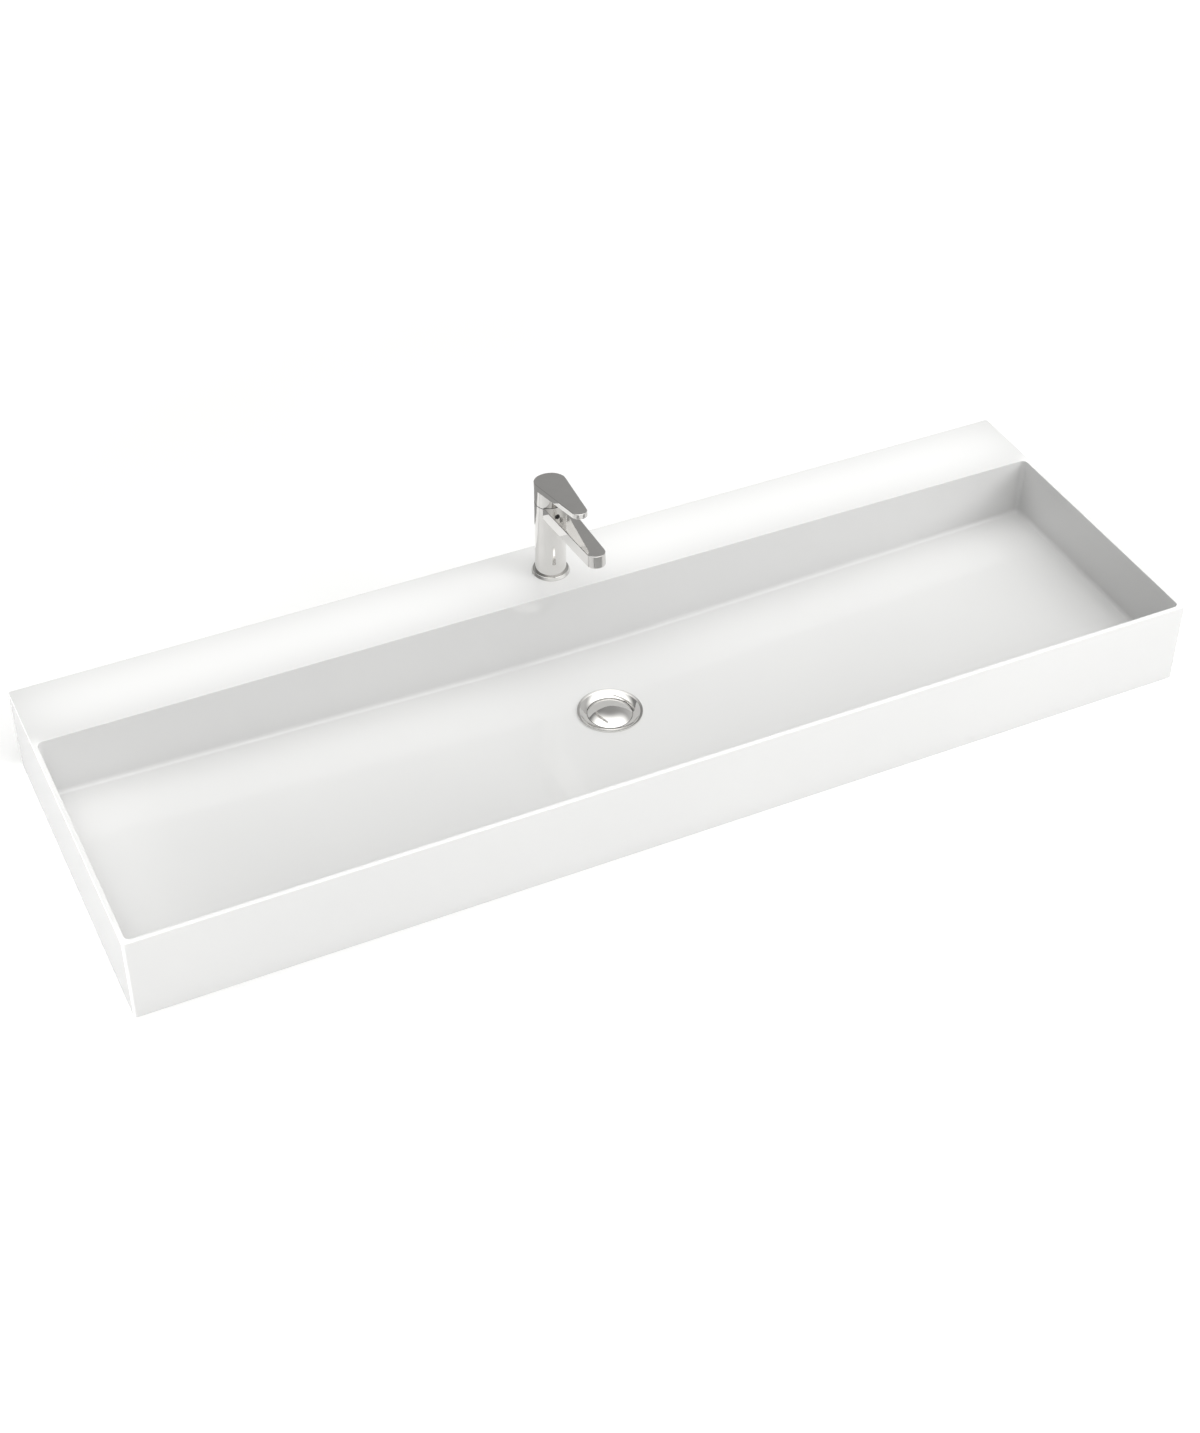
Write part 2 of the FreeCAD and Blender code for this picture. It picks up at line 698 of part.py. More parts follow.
def lever():
    plate = lever_plate()
    skirt = cylinder(COLUMN_R, SKIRT_FOOT_H, LEVER_TOP_H - LEVER_T / 2)
    body = plate.fuse(skirt).removeSplitter()
    head = STEM_HEAD_W / 2 + PRESS
    face = STEM_HEAD_W / 2
    cuts = [
        cylinder(COLUMN_R - SKIRT_WALL, SKIRT_FOOT_H, SKIRT_CEILING_H),
        block(-head, head, -head, head, SKIRT_CEILING_H, STEM_TOP_H + PRESS),
        screw_hole(SCREW_R + PRESS, face),
        screw_hole(PLUG_R + PRESS, COLUMN_R - PLUG_T - PLUG_INSET),
        lever_relief(),
    ]
    return at_tap(body.cut(cuts))


def grub_screw():
    start = STEM_HEAD_W / 2
    return at_tap(Part.makeCylinder(SCREW_R, SCREW_LENGTH, V(0, -start, SCREW_H), FRONT))


def screw_plug():
    start = COLUMN_R - PLUG_INSET - PLUG_T
    return at_tap(Part.makeCylinder(PLUG_R, PLUG_T, V(0, -start, SCREW_H), FRONT))


# Waste

def spider():
    """Arms across the tail that carry the click mechanism."""
    low = -SPIDER_TOP - SPIDER_T
    reach = TAIL_R - TAIL_WALL / 2
    arms = [cylinder(HUB_R, low, -SPIDER_TOP)]
    for k in range(SPIDER_ARMS):
        arm = block(0, reach, -SPIDER_ARM_W / 2, SPIDER_ARM_W / 2, low, -SPIDER_TOP)
        arm.rotate(V(0, 0, 0), UP, FULL_TURN * k / SPIDER_ARMS)
        arms.append(arm)
    web = arms[0].fuse(arms[1:]).removeSplitter()
    return web.cut(cylinder(BARREL_THREAD_R + PRESS, low, -SPIDER_TOP))


def waste_body():
    """Dished flange and threaded tail in one turned piece, with the spider inside."""
    neck = TRAP_THREAD_L - TAIL_DROP
    edges = path(
        (LIP_R - LIP_CHAMFER, LIP_T), (LIP_R - LIP_W, LIP_T), (DISH_R, -DISH_DEPTH),
        (DISH_R, -LEDGE), (TAIL_BORE_R, -LEDGE), (TAIL_BORE_R, -TAIL_DROP),
        (TAIL_R, -TAIL_DROP), (TAIL_R, neck), (TAIL_NECK_R, neck),
        (TAIL_NECK_R, neck + TAIL_NECK_L), (TAIL_R, neck + TAIL_NECK_L), (TAIL_R, -FLANGE_UNDER),
        (FLANGE_R, -FLANGE_UNDER), (FLANGE_R, 0), (LIP_R, 0), (LIP_R, LIP_T - LIP_CHAMFER),
        (LIP_R - LIP_CHAMFER, LIP_T),
    )
    return at_drain(turned(*edges).fuse(spider()).removeSplitter())


def flange_gasket():
    outer = FLANGE_R - FLANGE_SEAL_PLAY
    inner = DRAIN_BORE_R + FLANGE_SEAL_PLAY
    return at_drain(ring(outer, inner, -RECESS_DEPTH, -FLANGE_UNDER))


def lower_gasket():
    inner = TAIL_R + BACK_NUT_PLAY
    return at_drain(ring(LOWER_SEAL_R, inner, -BOSS_DROP - LOWER_SEAL_T, -BOSS_DROP))


def slip_washer():
    top = -BOSS_DROP - LOWER_SEAL_T
    return at_drain(ring(LOWER_SEAL_R, TAIL_R + BACK_NUT_PLAY, top - SLIP_WASHER_T, top))


def back_nut():
    top = -BOSS_DROP - LOWER_SEAL_T - SLIP_WASHER_T
    nut = hexagon(BACK_NUT_R, top - BACK_NUT_H, top)
    return at_drain(nut.cut(cylinder(TAIL_R + PRESS, top - BACK_NUT_H, top)))


def click_barrel():
    barrel = cylinder(BARREL_R, -SPIDER_TOP, -BARREL_TOP)
    barrel = barrel.fuse(cylinder(BARREL_THREAD_R, -SPIDER_TOP - SPIDER_T, -SPIDER_TOP))
    bore = cylinder(BARREL_BORE_R, -BARREL_FLOOR, -BARREL_TOP)
    return at_drain(barrel.removeSplitter().cut(bore))


def click_spring():
    """Coil between the barrel's floor and the stem's foot."""
    half = SPRING_WIRE / 2
    height = SPRING_H - SPRING_WIRE
    pitch = height / SPRING_TURNS
    helix = Part.makeHelix(pitch, height, SPRING_COIL_R)
    corners = [(-half, -half), (half, -half), (half, half), (-half, half), (-half, -half)]
    section = Part.makePolygon([V(SPRING_COIL_R + x, 0, z) for x, z in corners])
    coil = Part.Wire(helix.Edges).makePipeShell([section], True, True)
    coil.translate(UP * (half - BARREL_FLOOR))
    print("least gap between the spring's turns, mm:", round(pitch - SPRING_WIRE, 2))
    return at_drain(coil)


def click_stem():
    foot = -CLICK_STEM_FOOT
    shoulder = -CAP_BOSS_FOOT
    rod = cylinder(CLICK_STEM_R, foot, shoulder)
    spigot = cylinder(CLICK_SPIGOT_R, shoulder, shoulder + CLICK_SPIGOT_H)
    return at_drain(rod.fuse(spigot).removeSplitter())


def dome(edge, rise, low):
    """Profile points of a spherical cap, from its crown out to its edge."""
    ball = (edge * edge + rise * rise) / (2 * rise)
    radii = [edge * k / CAP_BANDS for k in range(CAP_BANDS + 1)]
    return [(r, low + rise - ball + math.sqrt(ball * ball - r * r)) for r in radii]


def plug_cap():
    """Shallow dome with a boss for the click stem."""
    crown = dome(CAP_R - CAP_EDGE_ROUND, CAP_DOME_H, -DISH_DEPTH)
    ceiling = -CAP_UNDER + CAP_SHELL_T
    hole_top = -CAP_BOSS_FOOT + CLICK_SPIGOT_H + PRESS
    hole = CLICK_SPIGOT_R + PRESS
    edges = path(
        *crown, (CAP_R, -DISH_DEPTH - CAP_EDGE_ROUND), (CAP_R, -CAP_UNDER),
        (CAP_HOLLOW_R, -CAP_UNDER), (CAP_HOLLOW_R, ceiling), (CAP_BOSS_R, ceiling),
        (CAP_BOSS_R, -CAP_BOSS_FOOT), (hole, -CAP_BOSS_FOOT), (hole, hole_top),
        (0, hole_top), crown[0],
    )
    return at_drain(turned(*edges))


def plug_seal():
    return at_drain(ring(PLUG_SEAL_R, PLUG_SEAL_R - PLUG_SEAL_W, RUN - LEDGE, -CAP_UNDER))


PIECES = [
    basin_body,
    tap_body, base_ring, base_gasket,
    mounting_stud, clamp_gasket, horseshoe_plate, mounting_nut,
    aerator_housing, aerator_insert, aerator_washer,
    port_gasket, cartridge_base, fixed_disc, moving_disc, disc_driver,
    swivel_carrier, stem_pin, stem, cartridge_housing, cartridge_nut, cartridge_cover,
    lever, grub_screw, screw_plug,
    waste_body, flange_gasket, lower_gasket, slip_washer, back_nut,
    click_barrel, click_spring, click_stem, plug_cap, plug_seal,
]


def main():
    os.makedirs("parts", exist_ok=True)
    for piece in PIECES:
        piece().exportStep("parts/" + piece.__name__ + ".step")


main()
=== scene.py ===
"""Looks of the countertop basin: meshes, finishes, soft light and the photograph's view, in metres."""

import math

import bmesh
import bpy
from mathutils import Matrix, Vector


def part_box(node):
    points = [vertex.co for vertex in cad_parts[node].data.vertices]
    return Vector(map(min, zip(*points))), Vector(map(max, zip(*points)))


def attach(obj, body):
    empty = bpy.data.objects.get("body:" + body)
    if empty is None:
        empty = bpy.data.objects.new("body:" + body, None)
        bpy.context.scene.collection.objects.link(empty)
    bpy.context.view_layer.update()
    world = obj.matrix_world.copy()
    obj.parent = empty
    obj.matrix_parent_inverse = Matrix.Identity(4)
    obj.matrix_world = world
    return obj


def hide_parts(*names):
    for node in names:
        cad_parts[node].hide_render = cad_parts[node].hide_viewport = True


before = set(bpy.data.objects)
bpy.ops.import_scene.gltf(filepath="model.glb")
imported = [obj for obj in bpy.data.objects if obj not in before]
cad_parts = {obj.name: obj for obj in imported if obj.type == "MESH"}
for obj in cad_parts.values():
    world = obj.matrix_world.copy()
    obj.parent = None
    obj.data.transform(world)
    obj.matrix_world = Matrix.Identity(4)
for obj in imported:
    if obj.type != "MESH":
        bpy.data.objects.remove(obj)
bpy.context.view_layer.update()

# Camera, fitted to the basin's corners in the photograph
PHOTO_H = 1433
FOCAL_PX = 2413.4
SENSOR_MM = 36.0
AZIMUTH = math.radians(-25.770)
ELEVATION = math.radians(40.783)
ROLL = math.radians(0.431)
DISTANCE = 3.0798
ASIDE = -0.01217  # how far the line of sight passes the origin
ABOVE = 0.00310

# Basin
BASIN_LOW, BASIN_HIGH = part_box("basin_body")
PLAN_R = 0.004
RIM_W = 0.006
RIM_ROUND = 0.0008
DECK_W = 0.1066
DECK_T = 0.012
WEB_T = 0.008  # between the bowl and the hollows under the deck
FOOT_W = 0.012
RIB_T = 0.008
RIB_COUNT = 2
BOWL_R = 0.007
BOWL_FLOOR_R = 0.006
FLOOR_H = 0.014
FLOOR_SLOPE = math.radians(1.6)
FLOOR_BEND_R = 2.5
FLOOR_T = 0.008
FLOOR_RINGS = 24
FLOOR_CROWDING = 0.8  # below 1, the rings lie closer together near the drain
DRAIN_Y = -0.001
DRAIN = Vector((0.0, DRAIN_Y, FLOOR_H))
DRAIN_LEVEL = 0.050  # half of the floor's level stretch
DRAIN_R = 0.040
DRAIN_DEPTH = 0.009
DRAIN_BORE_R = 0.023
BOSS_R = 0.046
BOSS_H = 0.001
BELOW = 0.002  # how far cutters reach under the basin's foot
BOSS_FOOT = ((BOSS_R, BOSS_H), (DRAIN_BORE_R / 2, BOSS_H), (DRAIN_BORE_R / 2, -BELOW))  # radius, height
TAP_HOLE_R = 0.0175
FIXING_X = 0.140
FIXING_H = 0.070
FIXING_R = 0.007
DRILL_REACH = 0.018  # each way from a hole's middle
BOWL_LOW = BASIN_LOW + Vector((RIM_W, RIM_W, 0))
BOWL_HIGH = BASIN_HIGH - Vector((RIM_W, DECK_W, 0))
PAN_LOW = BOWL_LOW + Vector((BOWL_FLOOR_R, BOWL_FLOOR_R, 0))
PAN_HIGH = BOWL_HIGH - Vector((BOWL_FLOOR_R, BOWL_FLOOR_R, 0))
LONG_STEPS = 48
SHORT_STEPS = 18
CORNER_STEPS = 8
FILLET_STEPS = 8

# Mixer, heights above the deck
TAP_INSET = 0.057  # from the back
TAP = Vector((0.0, BASIN_HIGH.y - TAP_INSET, BASIN_HIGH.z))
RING_R = 0.025
RING_H = 0.0045
RING_TOP_R = 0.0232
RING_FOOT_H = 0.0008
RING_ROUND = 0.0005
RING_LEDGE_H = 0.0025
RING_BORE_R = 0.0176
COLUMN_R = 0.0202
COLUMN_H = 0.1092
SPOUT_H = 0.1105
SPOUT_RISE = math.radians(4.2)
SPOUT_T = 0.018
SPOUT_ROOT_R = 0.0163
SPOUT_NOSE_R = 0.0122
SPOUT_REACH = 0.1345
SPOUT_ROUND = 0.0007
SPOUT_UNDER_ROUND = 0.0016
CHAMBER_R = 0.0127
CHAMBER_DEPTH = 0.0267
RECESS_R = 0.0208  # clears the spout's root from over the column
LEVER_TOP_H = 0.1408
LEVER_RISE = math.radians(6.7)
LEVER_BACK_R = 0.0206
LEVER_TIP_R = 0.0102
LEVER_REACH = 0.0869
LEVER_T = 0.009
LEVER_TIP_T = 0.0072
LEVER_ROUND = 0.0007
SKIRT_FOOT_H = 0.1103
SKIRT_WALL = 0.0032
SKIRT_HOLLOW = 0.011
RELIEF_H = 0.11007  # of the cut under the skirt, which is level when the lever is tipped up
LIFT = math.radians(25.0)
# the cover reaches nearly to the column's face, so its dark plastic fills the seam: partly the cover's own
# colour, partly painted shade
COVER_R = 0.0200
COVER_T = 0.0005
COVER_BORE_R = 0.0106
SCREW_H = 0.1250
SCREW_PLUG_R = 0.00335
INLET_R = 0.00446
INLET_X = 0.007
INLET_Y = -0.0041
INLET_DEPTH = 0.012

# Waste, heights above and depths below the floor at the drain
LIP_R = 0.042
LIP_H = 0.002
LIP_W = 0.0032
LIP_DIP = 0.0003
LIP_ROUND = 0.0003
DISH_R = 0.0296
DISH_DEPTH = 0.003
DISH_BELLY = 0.0007
DISH_STEPS = 20
CAP_R = 0.029
CAP_RISE = 0.0048
CAP_CURVE = 3.2  # power of the dome's fall to its edge
CAP_EDGE_ROUND = 0.0005
CAP_UNDER = 0.0044
CAP_SHELL_T = 0.0017
CAP_HOLLOW_R = 0.019
CAP_BOSS_R = 0.006
CAP_BOSS_FOOT = 0.0094
CAP_BOSS_DEPTH = 0.005
CLICK_SPIGOT_R = 0.003
FLANGE_R = 0.0395
FLANGE_UNDER = 0.008
LEDGE = 0.0062  # depth of the seat inside the flange
TAIL_R = 0.02095
TAIL_BORE_R = 0.0175
TAIL_NECK_R = 0.0202
TAIL_NECK_L = 0.004
TRAP_THREAD_L = 0.036
TAIL_PITCH = 0.002309
TAIL_THREAD_T = 0.0012
SPIDER_TOP = 0.036
SPIDER_T = 0.006
SPIDER_ARM_W = 0.004
SPIDER_ARMS = 3
HUB_R = 0.0065
HUB_BORE_R = 0.00405

# Fasteners
STUD_R = 0.004
STUD_PITCH = 0.00125
STUD_THREAD_T = 0.0007
THREAD_RINGS = 6  # to each turn
HEX_SIDES = 6
NUT_CHAMFER = 0.08  # of the nut's radius

# Surroundings
GROUND_R = 25.0
GROUND_Z = -0.0002  # just under the basin's foot
GROUND_GLOW = 0.1  # near the basin
GLOW_AFAR = 1.0
FADE_START = 0.9
FADE_END = 2.4
BACKDROP_H = 20.0
CARD_W = 0.052
CARD_T = 0.004
CARD_DROP = 0.004  # below the deck
CARD_GAP = 0.004  # behind the basin

# Light
SKY = (1.0, 1.0, 0.985, 1.0)
AMBIENT = 0.04
MIRRORED = 0.21  # added to what gloss sees of the room
OVERHEAD = 2.0
FRONT = 0.6
RIGHT_SIDE = 0.36
UNDERNEATH = 0.1
LOBES = (  # axis, where the light starts, where it is full, strength
    ("Z", 0.64, 1.0, OVERHEAD),
    ("Y", 0.0, -1.0, FRONT),
    ("X", 0.0, 1.0, RIGHT_SIDE),
    ("Z", 0.0, -0.25, UNDERNEATH),
)
LAMPS = (  # name, place, target, size, watts
    ("right_light", (3.0, -2.4, 2.2), (0.0, 0.0, 0.1), (2.2, 2.2), 64.0),
    ("left_fill", (-1.9, 0.1, 0.07), (-0.7, 0.04, 0.065), (1.1, 0.12), 26.0),
)
DECK_STRIP_RISE = 0.064  # above the basin's top
RIM_STRIP_RISE = 0.012
RIM_STRIP_W = 0.004
FRONT_RIM_Y = BASIN_LOW.y + RIM_W / 2
SIDE_RIM_X = BASIN_HIGH.x - RIM_W / 2
SIDE_STRIP_Y = -0.05
SIDE_STRIP = (RIM_STRIP_W, 0.37)
STRIPS = (  # name, x, y, height above the basin's top, size, watts
    ("deck_strip", 0.0, 0.185, DECK_STRIP_RISE, (1.4, 0.07), 0.225),
    ("front_rim_strip", 0.0, FRONT_RIM_Y, RIM_STRIP_RISE, (1.45, RIM_STRIP_W), 0.04),
    ("left_rim_strip", -SIDE_RIM_X, SIDE_STRIP_Y, RIM_STRIP_RISE, SIDE_STRIP, 0.009),
    ("right_rim_strip", SIDE_RIM_X, SIDE_STRIP_Y, RIM_STRIP_RISE, SIDE_STRIP, 0.009),
)

# Meshes and finishes
ORIGIN = Vector((0.0, 0.0, 0.0))
PLAY = 0.00005  # between pieces that sit in one another
TURN_STEPS = 96
ROUND_STEPS = 4
BEYOND = 0.5  # farther than the mixer reaches
TINY = 1e-9  # a ring below this radius is a point
SHARP = math.radians(32.0)  # edges that turn more than this stay sharp
FACE_WEIGHT = 100  # large faces set the shading at their edges
NOISE_DETAIL = 3.0
NOISE_LOW, NOISE_HIGH = 0.3, 0.7  # where most noise values lie
EVEN = (1.0, 1.0, 1.0)
LATHE_MARKS = (1.0, 1.0, 8.0)


def add(tree, kind, sockets=(), **settings):
    """A node with its settings; a socket takes a value or another node's output."""
    made = tree.nodes.new(kind)
    for name, value in settings.items():
        setattr(made, name, value)
    for key, value in dict(sockets).items():
        if isinstance(value, bpy.types.NodeSocket):
            tree.links.new(value, made.inputs[key])
        else:
            made.inputs[key].default_value = value
    return made


def noise(tree, scale, stretch=EVEN):
    """Cloudy values from 0 to 1 over the object's own coordinates."""
    place = add(tree, "ShaderNodeTexCoord").outputs["Object"]
    sized = add(tree, "ShaderNodeMapping", {"Vector": place, "Scale": stretch})
    sockets = {"Vector": sized.outputs["Vector"], "Scale": scale, "Detail": NOISE_DETAIL}
    return add(tree, "ShaderNodeTexNoise", sockets).outputs["Fac"]


def spread(tree, value, low, high):
    """Noise values drawn out over a range."""
    given = {"Value": value, "From Min": NOISE_LOW, "From Max": NOISE_HIGH}
    wanted = {"To Min": low, "To Max": high}
    return add(tree, "ShaderNodeMapRange", given | wanted).outputs["Result"]


def tint(tree, value, first, second):
    """Colours between two, by noise values."""
    ramp = add(tree, "ShaderNodeValToRGB", {"Fac": value})
    low, high = ramp.color_ramp.elements
    low.position, high.position = NOISE_LOW, NOISE_HIGH
    low.color = (*first, 1.0)
    high.color = (*second, 1.0)
    return ramp.outputs["Color"]


def finish(name, first, second, cloud, rough, grain, relief, stretch=EVEN, **fixed):
    """A procedural material: clouded colour, uneven gloss and a fine relief."""
    material = bpy.data.materials.new(name)
    material.use_nodes = True
    tree = material.node_tree
    shader = tree.nodes["Principled BSDF"]
    for socket, value in fixed.items():
        shader.inputs[socket.replace("_", " ")].default_value = value
    clouds = noise(tree, cloud)
    fine = noise(tree, grain, stretch=stretch)
    tree.links.new(tint(tree, clouds, first, second), shader.inputs["Base Color"])
    tree.links.new(spread(tree, fine, *rough), shader.inputs["Roughness"])
    bump = add(tree, "ShaderNodeBump", {"Height": fine, "Strength": 1.0, "Distance": relief})
    tree.links.new(bump.outputs["Normal"], shader.inputs["Normal"])
    return material


FINISHES = {
    "glaze": finish(
        "glaze", (0.76, 0.76, 0.76), (0.78, 0.78, 0.778),
        cloud=3.0, rough=(0.04, 0.07), grain=260.0, relief=1e-6, Coat_Weight=0.4, Coat_Roughness=0.03,
    ),
    "chrome": finish(
        "chrome", (0.75, 0.74, 0.725), (0.78, 0.77, 0.755),
        cloud=40.0, rough=(0.02, 0.045), grain=900.0, relief=2e-7, Metallic=1.0,
    ),
    "rubber": finish(
        "rubber", (0.018, 0.018, 0.019), (0.03, 0.03, 0.031),
        cloud=60.0, rough=(0.55, 0.75), grain=1800.0, relief=2e-5,
    ),
    "dark_plastic": finish(
        "dark_plastic", (0.012, 0.012, 0.013), (0.02, 0.02, 0.021),
        cloud=80.0, rough=(0.35, 0.5), grain=1500.0, relief=1e-5,
    ),
    "pale_plastic": finish(
        "pale_plastic", (0.62, 0.62, 0.59), (0.68, 0.68, 0.65),
        cloud=60.0, rough=(0.35, 0.5), grain=1200.0, relief=1e-5,
    ),
    "disc_ceramic": finish(
        "disc_ceramic", (0.72, 0.69, 0.63), (0.78, 0.75, 0.69),
        cloud=90.0, rough=(0.12, 0.2), grain=2500.0, relief=2e-6,
    ),
    "brass": finish(
        "brass", (0.58, 0.40, 0.16), (0.68, 0.50, 0.22),
        cloud=50.0, rough=(0.18, 0.34), grain=1200.0, relief=6e-6, stretch=LATHE_MARKS, Metallic=1.0,
    ),
    "steel": finish(
        "steel", (0.50, 0.50, 0.49), (0.60, 0.60, 0.60),
        cloud=50.0, rough=(0.24, 0.4), grain=1200.0, relief=6e-6, stretch=LATHE_MARKS, Metallic=1.0,
    ),
}


def dress_nodes():
    """Give every solid that stays in view the finish of its slot."""
    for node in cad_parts.values():
        for place in node.material_slots:
            place.material = FINISHES[place.material.name.split(".")[0]]


# Meshes
def arc(x, y, radius, start, end, steps):
    """Points on an arc, in degrees, both ends included."""
    turns = [math.radians(start + (end - start) * k / steps) for k in range(steps + 1)]
    return [(x + radius * math.cos(t), y + radius * math.sin(t)) for t in turns]


def bridge(bm, first, second):
    """Faces between two closed rings; a ring of one point makes a fan."""
    count = max(len(first), len(second))
    for k in range(count):
        n = (k + 1) % count
        if len(first) == 1:
            bm.faces.new((first[0], second[n], second[k]))
        elif len(second) == 1:
            bm.faces.new((first[k], first[n], second[0]))
        else:
            bm.faces.new((first[k], first[n], second[n], second[k]))


def skin(rings, joined=False, capped=True):
    """A mesh through rings of points, capped at its ends or joined end to end."""
    bm = bmesh.new()
    made = [[bm.verts.new(point) for point in ring] for ring in rings]
    for first, second in zip(made, made[1:]):
        bridge(bm, first, second)
    if joined:
        bridge(bm, made[-1], made[0])
    elif capped:
        for end in (made[0], made[-1]):
            if len(end) > 1:
                bm.faces.new(end)
    bmesh.ops.recalc_face_normals(bm, faces=bm.faces)
    mesh = bpy.data.meshes.new("skin")
    bm.to_mesh(mesh)
    bm.free()
    return mesh


def circle(centre, radius, height, steps):
    """Points round a vertical line, or one point where the radius is nothing."""
    if radius < TINY:
        return [(centre.x, centre.y, centre.z + height)]
    plan = arc(centre.x, centre.y, radius, 0, 360, steps)[:-1]
    return [(x, y, centre.z + height) for x, y in plan]


def turned(profile, centre, steps=TURN_STEPS, joined=False):
    """A surface of revolution about a vertical line; the profile is (radius, height)."""
    return skin([circle(centre, radius, height, steps) for radius, height in profile], joined)


def rod(centre, radius, low, high, steps=TURN_STEPS):
    """A plain cylinder about a vertical line."""
    return turned([(radius, low), (radius, high)], centre, steps)


def laid(mesh, place):
    """Turn what was made about the Z axis to lie along Y, at a place."""
    mesh.transform(Matrix.Translation(place) @ Matrix.Rotation(math.radians(90), 4, "X"))
    return mesh


def eased(profile, radius):
    """A profile with its corners rounded off; both ends stay."""
    points = [Vector(point) for point in profile]
    smooth = points[:1]
    for before, corner, after in zip(points, points[1:], points[2:]):
        start = corner + (before - corner).normalized() * min(radius, (before - corner).length / 2)
        end = corner + (after - corner).normalized() * min(radius, (after - corner).length / 2)
        for k in range(ROUND_STEPS + 1):
            share = k / ROUND_STEPS
            smooth.append(start.lerp(corner, share).lerp(corner.lerp(end, share), share))
    return smooth + points[-1:]


def thread(centre, crest, depth, pitch, low, high, steps=TURN_STEPS):
    """Rings of a screw thread from one height to another, fading out at both ends."""
    count = round((high - low) / pitch * THREAD_RINGS)
    rings = []
    for k in range(count + 1):
        height = low + (high - low) * k / count
        fade = min(1.0, (height - low) / pitch, (high - height) / pitch)
        ring = []
        for step in range(steps):
            turn = step / steps
            phase = (height / pitch - turn) % 1.0
            radius = crest - depth * fade * (1.0 - abs(2.0 * phase - 1.0))
            angle = 2.0 * math.pi * turn
            ring.append((
                centre.x + radius * math.cos(angle), centre.y + radius * math.sin(angle), centre.z + height,
            ))
        rings.append(ring)
    return rings


def box_mesh(x0, x1, y0, y1, z0, z1):
    """A box between these limits."""
    plan = ((x0, y0), (x1, y0), (x1, y1), (x0, y1))
    return skin([[(x, y, z) for x, y in plan] for z in (z0, z1)])


def merged(meshes):
    """Several meshes as one."""
    bm = bmesh.new()
    for mesh in meshes:
        bm.from_mesh(mesh)
        bpy.data.meshes.remove(mesh)
    whole = bpy.data.meshes.new("merged")
    bm.to_mesh(whole)
    bm.free()
    return whole


def put(name, data):
    """An object in the scene that holds a mesh, a lamp or a camera."""
    thing = bpy.data.objects.new(name, data)
    bpy.context.scene.collection.objects.link(thing)
    return thing


def worked(mesh, *steps):
    """A mesh after boolean steps, each (operation, other mesh)."""
    blank = put("blank", mesh)
    tools = []
    for operation, other in steps:
        tool = put("tool", other)
        tools.append(tool)
        change = blank.modifiers.new("work", "BOOLEAN")
        change.operation = operation
        change.solver = "EXACT"
        change.object = tool
    graph = bpy.context.evaluated_depsgraph_get()
    result = bpy.data.meshes.new_from_object(blank.evaluated_get(graph))
    for thing in (blank, *tools):
        old = thing.data
        bpy.data.objects.remove(thing)
        bpy.data.meshes.remove(old)
    return result


def piece(name, mesh, body, slot, *nodes):
    """A finished piece on its body, in its slot, in the place of these solids."""
    mesh.name = name
    mesh.materials.clear()
    mesh.materials.append(FINISHES[slot])
    mesh.shade_smooth()
    mesh.set_sharp_from_angle(angle=SHARP)
    thing = put(name, mesh)
    even = thing.modifiers.new("even", "WEIGHTED_NORMAL")
    even.keep_sharp = True
    even.weight = FACE_WEIGHT
    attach(thing, body)
    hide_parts(*nodes)


# Basin
def plan_loop(low, high, radius):
    """A rounded rectangle in plan, with the same count of points whatever its size."""
    corners = (
        (high.x - radius, high.y - radius, 0, LONG_STEPS),
        (low.x + radius, high.y - radius, 90, SHORT_STEPS),
        (low.x + radius, low.y + radius, 180, LONG_STEPS),
        (high.x - radius, low.y + radius, 270, SHORT_STEPS),
    )
    arcs = [arc(x, y, radius, turn, turn + 90, CORNER_STEPS) for x, y, turn, _ in corners]
    points = []
    for k, (_, _, _, steps) in enumerate(corners):
        points += arcs[k]
        x0, y0 = arcs[k][-1]
        x1, y1 = arcs[(k + 1) % len(corners)][0]
        shares = [step / steps for step in range(1, steps)]
        points += [(x0 + (x1 - x0) * s, y0 + (y1 - y0) * s) for s in shares]
    return points


def inset_loop(low, high, radius, inset, z):
    """Such a rectangle drawn in by an inset, at a height."""
    edge = Vector((inset, inset, 0))
    return [(x, y, z) for x, y in plan_loop(low + edge, high - edge, radius - inset)]


def floor_height(x):
    """The bowl's floor: level at the drain, with a wide bend into the slopes to both ends."""
    aside = max(0.0, abs(x) - DRAIN_LEVEL)
    bend = min(aside, FLOOR_BEND_R * math.sin(FLOOR_SLOPE))
    rise = FLOOR_BEND_R - math.sqrt(FLOOR_BEND_R ** 2 - bend ** 2)
    return FLOOR_H + rise + (aside - bend) * math.tan(FLOOR_SLOPE)


def pan_rings(low, high, corner, inner_r, drop):
    """Rings of floor from a rounded rectangle in to a circle round the drain."""
    outer = plan_loop(low, high, corner)
    half = (high - low) / 2
    rings = []
    for k in range(FLOOR_RINGS + 1):
        share = (k / FLOOR_RINGS) ** FLOOR_CROWDING
        ring = []
        for x, y in outer:
            turn = math.atan2((y - DRAIN.y) / half.y, (x - DRAIN.x) / half.x)
            px = x + (DRAIN.x + inner_r * math.cos(turn) - x) * share
            py = y + (DRAIN.y + inner_r * math.sin(turn) - y) * share
            ring.append((px, py, floor_height(px) - drop))
        rings.append(ring)
    return rings


def flat_ring(ring, radius, z):
    """A circle round the drain, its points in line with those of another ring."""
    turns = [math.atan2(y - DRAIN.y, x - DRAIN.x) for x, y, _ in ring]
    return [(DRAIN.x + radius * math.cos(t), DRAIN.y + radius * math.sin(t), z) for t in turns]


